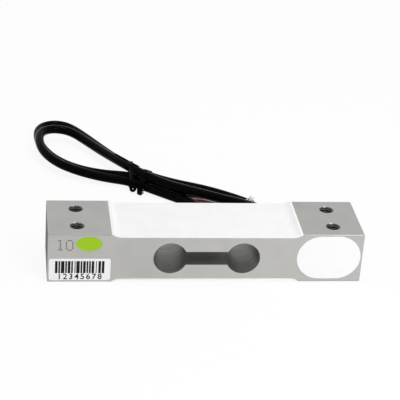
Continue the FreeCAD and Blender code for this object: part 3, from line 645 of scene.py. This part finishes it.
def strip(name, points, closed, place):
    """Plastic strip with a wire in its middle, bent along a flat line that is then placed."""
    pieces = []
    for part, width, depth, sides in (("film", TIE_WIDTH / 2, TIE_THICKNESS / 2, 2),
                                      ("wire", 0, TIE_WIRE / 2, 3)):
        data = bpy.data.curves.new(f"{name}_{part}", "CURVE")
        data.dimensions = "2D"
        data.fill_mode = "NONE"
        data.extrude = width
        data.bevel_depth = depth
        data.bevel_resolution = sides
        spline = data.splines.new("POLY")
        spline.points.add(len(points) - 1)
        for corner, (x, y) in zip(spline.points, points):
            corner.co = (x, y, 0, 1)
        spline.use_cyclic_u = closed
        piece = bpy.data.objects.new(f"{name}_{part}", data)
        bpy.context.collection.objects.link(piece)
        as_mesh(piece)
        piece.matrix_world = place
        pieces.append(apply_place(piece))
    return join(pieces, name)


def upright(point, along):
    """Placement whose X is a level direction, Y is up and origin is a point on the floor."""
    along = Vector(along).normalized()
    turn = Matrix((along, Vector((0, 0, 1)), along.cross(Vector((0, 0, 1))))).transposed()
    return Matrix.Translation(point) @ turn.to_4x4()


def tie_band(name, line, point, along, reach):
    """One turn of the strip, drawn tight round the strands that pass through an upright plane.

    A strand that crosses the plane at a slant is wider in it. The film stays above the floor, and
    the wire's bulge may dip a little under it.
    """
    place = upright(point, along)
    back = place.inverted()
    local = [back @ step for step in line]
    strands = []
    for before, after in zip(local, local[1:]):
        if before.z * after.z <= 0 and abs(before.x) < reach:
            lean = (after - before).normalized()
            strands.append((before.x, before.y, max(abs(lean.z), 0.4)))
    radius = CABLE_DIAMETER / 2 + TIE_GAP + TIE_THICKNESS / 2
    loop = []
    for step in range(TIE_STEPS):
        angle = math.tau * step / TIE_STEPS
        reach_x, reach_y = math.cos(angle), math.sin(angle)
        corners = [(x + radius * reach_x / lean, y + radius * reach_y) for x, y, lean in strands]
        far = max(corners, key=lambda c: c[0] * reach_x + c[1] * reach_y)
        loop.append((far[0], max(far[1], TIE_THICKNESS / 2)))
    return strip(name, loop, True, place)


def twisted_ends(name, start, finish, turns):
    """Both ends of the strip twisted round each other."""
    along = finish - start
    pieces = []
    for hand in (0, 1):
        bpy.ops.object.select_all(action="DESELECT")
        bpy.ops.mesh.primitive_cube_add(size=1, location=(0, 0, 0))
        piece = added(f"{name}_{hand}")
        piece.scale = (TWIST_WIDTH, TWIST_THICKNESS, along.length)
        piece.rotation_euler = (0, 0, hand * math.pi / 2)
        apply_place(piece)
        bpy.ops.object.mode_set(mode="EDIT")
        bpy.ops.mesh.select_all(action="SELECT")
        bpy.ops.mesh.subdivide(number_cuts=31)
        bpy.ops.object.mode_set(mode="OBJECT")
        apply_modifier(piece, "SIMPLE_DEFORM", deform_method="TWIST", deform_axis="Z",
                       angle=math.tau * turns)
        piece.matrix_world = (Matrix.Translation((start + finish) / 2)
                              @ along.to_track_quat("Z", "Y").to_matrix().to_4x4())
        pieces.append(apply_place(piece))
    return join(pieces, name)


def curled_end(name, centre, facing, inner, outer, turns, first):
    """Loose end of the strip, rolled up on itself."""
    points = []
    for step in range(CURL_STEPS + 1):
        angle = first + math.tau * turns * step / CURL_STEPS
        radius = inner + (outer - inner) * step / CURL_STEPS
        points.append((radius * math.cos(angle), radius * math.sin(angle)))
    facing = Vector(facing).normalized()
    across = Vector((0, 0, 1)).cross(facing).normalized()
    turn = Matrix((across, facing.cross(across), facing)).transposed().to_4x4()
    return strip(name, points, False, Matrix.Translation(centre) @ turn)


def tail_strip(name, line, low, high, lift, lean):
    """Spare length of the strip, laid flat along a strand."""
    run = [step for step in line if low <= step.y <= high]
    data = bpy.data.curves.new(name, "CURVE")
    data.dimensions = "3D"
    data.twist_mode = "Z_UP"
    data.extrude = TIE_WIDTH / 2
    data.bevel_depth = TIE_THICKNESS / 2
    data.bevel_resolution = 2
    data.use_fill_caps = True
    spline = data.splines.new("POLY")
    spline.points.add(len(run) - 1)
    for index, (corner, step) in enumerate(zip(spline.points, run)):
        ahead = run[min(index + 1, len(run) - 1)] - run[max(index - 1, 0)]
        side = Vector((ahead.y, -ahead.x, 0)).normalized()
        out = side * math.cos(lean) + Vector((0, 0, math.sin(lean)))
        corner.co = (*(step + out * lift), 1)
        corner.tilt = -lean
    piece = bpy.data.objects.new(name, data)
    bpy.context.collection.objects.link(piece)
    return as_mesh(piece)


def add_twist_tie():
    """Two turns of plastic-covered wire round the strands, its twisted end and curled end."""
    line = spline_line(CABLE_POINTS)
    pieces = [
        tie_band("tie_left", line, Vector((-24.4, 76, 0)) * MM, (0.03, 1, 0), 8 * MM),
        tie_band("tie_right", line, Vector((-18.9, 69.7, 0)) * MM, (0.37, 0.93, 0), 11 * MM),
        twisted_ends("tie_twist", Vector((-20.6, 66.8, 3.6)) * MM, Vector((-20.9, 62, 1.5)) * MM,
                     TWIST_TURNS),
        curled_end("tie_curl", Vector((-24.1, 65.8, 2.0)) * MM, (-0.35, -0.83, 0.42), CURL_INNER,
                   CURL_OUTER, CURL_TURNS, 0.4),
        tail_strip("tie_tail", line[:len(line) // 4], TAIL_FROM, TAIL_TO,
                   CABLE_DIAMETER / 2 + TIE_THICKNESS / 2, math.radians(TAIL_LEAN))]
    tie = join(pieces, "tie")
    return dress(smooth(tie, 35), TIE_PLASTIC, "tie_plastic", "twist_tie")


add_cords()


# ---- floor and light ---------------------------------------------------------------------------

def seen_directly(tree):
    """1 where a camera, mirror or glass ray looks, and 0 for the light that falls on things."""
    path = tree.nodes.new("ShaderNodeLightPath")
    total = path.outputs["Is Camera Ray"]
    for ray in ("Is Glossy Ray", "Is Transmission Ray"):
        either = tree.nodes.new("ShaderNodeMath")
        either.operation = "MAXIMUM"
        tree.links.new(total, either.inputs[0])
        tree.links.new(path.outputs[ray], either.inputs[1])
        total = either.outputs[0]
    return total


FLOOR_SIZE = 6
FLOOR_DROP = 0.05 * MM
FLOOR_GLOW = 0.9


def add_floor():
    """A wide pale floor that looks evenly lit, and still lights the part plainly."""
    bpy.ops.object.select_all(action="DESELECT")
    bpy.ops.mesh.primitive_plane_add(size=FLOOR_SIZE, location=(0, 0, -FLOOR_DROP))
    floor = added("floor")
    material = bpy.data.materials.new("pale_floor")
    material.use_nodes = True
    tree = material.node_tree
    shader = tree.nodes["Principled BSDF"]
    shader.inputs["Base Color"].default_value = (0.93, 0.93, 0.93, 1)
    shader.inputs["Roughness"].default_value = 0.9
    shader.inputs["Specular IOR Level"].default_value = 0.1
    glow = tree.nodes.new("ShaderNodeEmission")
    mix = tree.nodes.new("ShaderNodeMixShader")
    share = tree.nodes.new("ShaderNodeMath")
    share.operation = "MULTIPLY"
    share.inputs[1].default_value = FLOOR_GLOW
    tree.links.new(seen_directly(tree), share.inputs[0])
    tree.links.new(share.outputs[0], mix.inputs[0])
    tree.links.new(shader.outputs[0], mix.inputs[1])
    tree.links.new(glow.outputs[0], mix.inputs[2])
    tree.links.new(mix.outputs[0], tree.nodes["Material Output"].inputs["Surface"])
    floor.data.materials.append(material)


def add_world():
    world = bpy.data.worlds.new("studio")
    bpy.context.scene.world = world
    world.use_nodes = True
    tree = world.node_tree
    background = tree.nodes["Background"]
    background.inputs["Color"].default_value = (1, 1, 1, 1)
    strength = tree.nodes.new("ShaderNodeMapRange")
    strength.inputs["To Min"].default_value = 0.5
    strength.inputs["To Max"].default_value = 1.0
    tree.links.new(seen_directly(tree), strength.inputs["Value"])
    tree.links.new(strength.outputs[0], background.inputs["Strength"])


def add_lamp(name, place, target, size, power):
    data = bpy.data.lights.new(name, "AREA")
    data.size = size
    data.energy = power
    lamp = bpy.data.objects.new(name, data)
    aim = (Vector(target) - Vector(place)).to_track_quat("-Z", "Y")
    lamp.matrix_world = Matrix.Translation(place) @ aim.to_matrix().to_4x4()
    bpy.context.collection.objects.link(lamp)


add_floor()
add_world()
add_lamp("key", (0.25, -0.27, 0.45), (0, 0.02, 0), 0.2, 1.0)
add_lamp("front", (0.3, -0.48, 0.14), (0, 0, 0.01), 0.26, 0.75)
add_lamp("overhead", (0, 0.15, 1.1), (0, 0.03, 0), 0.3, 3)


# ---- the bar with cut threads ------------------------------------------------------------------

def cylinder(name, radius, low, high, x, y, sides=48):
    bpy.ops.object.select_all(action="DESELECT")
    bpy.ops.mesh.primitive_cylinder_add(vertices=sides, radius=radius, depth=high - low,
                                        location=(x, y, (low + high) / 2))
    return apply_place(added(name))


THREAD_SUNK = 0.04 * MM
THREAD_STEPS = 36
MOUTH_ROOT = 2.45 * MM
MOUTH_REACH = 5 * MM
MOUTH_BELOW = 0.65 * MM
MOUTH_ABOVE = 1.9 * MM


def add_thread_ridge(index, x, y, mouths):
    """Helical crest of the thread: a blunt tooth turned up the hole and cut off in its mouths."""
    turns = int(top_face / THREAD_PITCH) + 2
    bpy.ops.object.select_all(action="DESELECT")
    bpy.ops.mesh.primitive_plane_add(size=1, location=(0, 0, 0))
    ridge = added(f"thread_{index}")
    foot = THREAD_ROOT + THREAD_SUNK
    tooth = [(THREAD_CREST, 0.42), (THREAD_CREST, 0.58), (foot, 0.02), (foot, 0.98)]
    for corner, (radius, share) in zip(ridge.data.vertices, tooth):
        corner.co = (radius, 0, (share - 1) * THREAD_PITCH)
    only(ridge)
    bpy.ops.object.mode_set(mode="EDIT")
    bpy.ops.mesh.select_all(action="SELECT")
    bpy.ops.mesh.delete(type="ONLY_FACE")
    bpy.ops.object.mode_set(mode="OBJECT")
    apply_modifier(ridge, "SCREW", axis="Z", steps=THREAD_STEPS, render_steps=THREAD_STEPS,
                   iterations=turns,
                   screw_offset=THREAD_PITCH, use_merge_vertices=False)
    bpy.ops.object.mode_set(mode="EDIT")
    bpy.ops.mesh.select_all(action="DESELECT")
    bpy.ops.mesh.select_non_manifold()
    bpy.ops.mesh.fill()
    bpy.ops.mesh.select_all(action="SELECT")
    bpy.ops.mesh.normals_make_consistent(inside=False)
    bpy.ops.object.mode_set(mode="OBJECT")
    ridge.location = (x, y, 0)
    apply_place(ridge)
    apply_modifier(ridge, "BOOLEAN", operation="DIFFERENCE", object=mouths, solver="EXACT")
    return dress(smooth(ridge, 30), THREAD, "aluminium")


def add_mouths():
    """The countersunk space at both ends of every tapped hole, as one solid to cut with."""
    cones = []
    for index, (x, y) in enumerate(SCREWS):
        for side, face in ((1, top_face), (-1, 0.0)):
            low, high = face - side * MOUTH_BELOW, face + side * MOUTH_ABOVE
            bpy.ops.object.select_all(action="DESELECT")
            bpy.ops.mesh.primitive_cone_add(
                vertices=64, radius1=MOUTH_ROOT, radius2=MOUTH_REACH,
                depth=MOUTH_BELOW + MOUTH_ABOVE, location=(x, y, (low + high) / 2),
                rotation=(0 if side > 0 else math.pi, 0, 0))
            cones.append(apply_place(added(f"mouth_{index}_{side}")))
    return join(cones, "mouths")


PUNCHED = [("01100", "00100", "00100", "00100", "00100", "00100", "01110"),
           ("01110", "10001", "10001", "10001", "10001", "10001", "01110")]
PUNCH_RADIUS = 0.31 * MM
PUNCH_DEPTH = 0.3 * MM
PUNCH_LIFT = 0.02 * MM
PUNCH_LEFT = -61.2 * MM
PUNCH_TOP = 19.1 * MM
PUNCH_DIGIT = 3.7 * MM
PUNCH_COLUMN = 0.66 * MM
PUNCH_ROW = 0.72 * MM


def add_punches():
    """Blunt points that mark a plain two-digit number on the front face."""
    points = []
    depth = PUNCH_DEPTH + PUNCH_LIFT
    for digit, rows in enumerate(PUNCHED):
        for row, dots in enumerate(rows):
            for column, dot in enumerate(dots):
                if dot == "0":
                    continue
                x = PUNCH_LEFT + PUNCH_DIGIT * digit + PUNCH_COLUMN * column
                z = PUNCH_TOP - PUNCH_ROW * row
                bpy.ops.object.select_all(action="DESELECT")
                bpy.ops.mesh.primitive_cone_add(
                    vertices=12, radius1=PUNCH_RADIUS * depth / PUNCH_DEPTH, radius2=0,
                    depth=depth, rotation=(-math.pi / 2, 0, 0),
                    location=(x, front_face - PUNCH_LIFT + depth / 2, z))
                points.append(apply_place(added(f"punch_{digit}_{row}_{column}")))
    return join(points, "punches")


FACES_FRONT = -0.999


def resize(piece, factor):
    piece.scale = (factor, factor, factor)
    return apply_place(piece)


def add_bar():
    """The bar with its number punched in and its tapped holes opened to the root of the thread.

    The exact cut needs pieces of a fair size, so both are cut with millimetres as metres. The
    front face is shaded flat, so that the dots leave no streaks on it.
    """
    bar = mesh_copy("beam", "bar")
    cutters = [cylinder(f"drill{index}", THREAD_ROOT, -1 * MM, top_face + 1 * MM, x, y)
               for index, (x, y) in enumerate(SCREWS)]
    cutter = join(cutters + [add_punches()], "cutter")
    resize(bar, 1 / MM)
    resize(cutter, 1 / MM)
    apply_modifier(bar, "BOOLEAN", operation="DIFFERENCE", object=cutter, solver="EXACT")
    bpy.data.objects.remove(cutter)
    apply_modifier(bar, "TRIANGULATE", ngon_method="BEAUTY")
    resize(bar, MM)
    dress(smooth(bar, 10), ALUMINIUM, "aluminium", "beam")
    for face in bar.data.polygons:
        if face.normal.y < FACES_FRONT:
            face.use_smooth = False
    mouths = add_mouths()
    for index, (x, y) in enumerate(SCREWS):
        add_thread_ridge(index, x, y, mouths)
    bpy.data.objects.remove(mouths)


add_bar()


# ---- printing on the labels --------------------------------------------------------------------

BAR_RHYTHM = "3121412131221141213121213212313"
BARS_LENGTH = 20 * MM
BARS_FROM = 3.3 * MM
BARS_TO = 8.9 * MM
DIGITS = "12345678"
DIGITS_SIZE = 3.6 * MM
DIGITS_SPACING = 1.3
DIGITS_FROM = 0.55 * MM
DIGITS_WEIGHT = 0.05 * MM
PRINT_RELIEF = 0.03 * MM


def ink_bar(x, width, low, high, face):
    """One printed bar, standing a hair proud of the label."""
    bpy.ops.object.select_all(action="DESELECT")
    bpy.ops.mesh.primitive_plane_add(size=1, rotation=(math.pi / 2, 0, 0),
                                     location=(x + width / 2, face, (low + high) / 2))
    bar = added("bar")
    bar.scale = (width, high - low, 1)
    apply_place(bar)
    bpy.ops.object.mode_set(mode="EDIT")
    bpy.ops.mesh.select_all(action="SELECT")
    bpy.ops.mesh.extrude_region_move(TRANSFORM_OT_translate={"value": (0, -PRINT_RELIEF, 0)})
    bpy.ops.mesh.select_all(action="SELECT")
    bpy.ops.mesh.normals_make_consistent(inside=False)
    bpy.ops.object.mode_set(mode="OBJECT")
    return bar


def ink_digits(text, size, spacing, centre, face, low):
    """A row of plain digits, flat on the label."""
    data = bpy.data.curves.new("digits", "FONT")
    data.body = text
    data.size = size
    data.space_character = spacing
    data.align_x = "CENTER"
    data.extrude = PRINT_RELIEF / 2
    data.offset = DIGITS_WEIGHT
    piece = bpy.data.objects.new("digits", data)
    bpy.context.collection.objects.link(piece)
    as_mesh(piece)
    piece.rotation_euler = (math.pi / 2, 0, 0)
    piece.location = (centre, face - PRINT_RELIEF / 2, low)
    return apply_place(piece)


def add_barcode():
    """A made-up row of bars, with plain digits under it."""
    low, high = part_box("barcode_label")
    middle = (low.x + high.x) / 2
    module = BARS_LENGTH / sum(int(width) for width in BAR_RHYTHM)
    x = middle - BARS_LENGTH / 2
    pieces = []
    for index, modules in enumerate(BAR_RHYTHM):
        width = int(modules) * module
        if index % 2 == 0:
            pieces.append(ink_bar(x, width, low.z + BARS_FROM, low.z + BARS_TO, low.y))
        x += width
    pieces.append(ink_digits(DIGITS, DIGITS_SIZE, DIGITS_SPACING, middle, low.y,
                             low.z + DIGITS_FROM))
    return dress(join(pieces, "barcode_print"), INK, "label")


add_barcode()
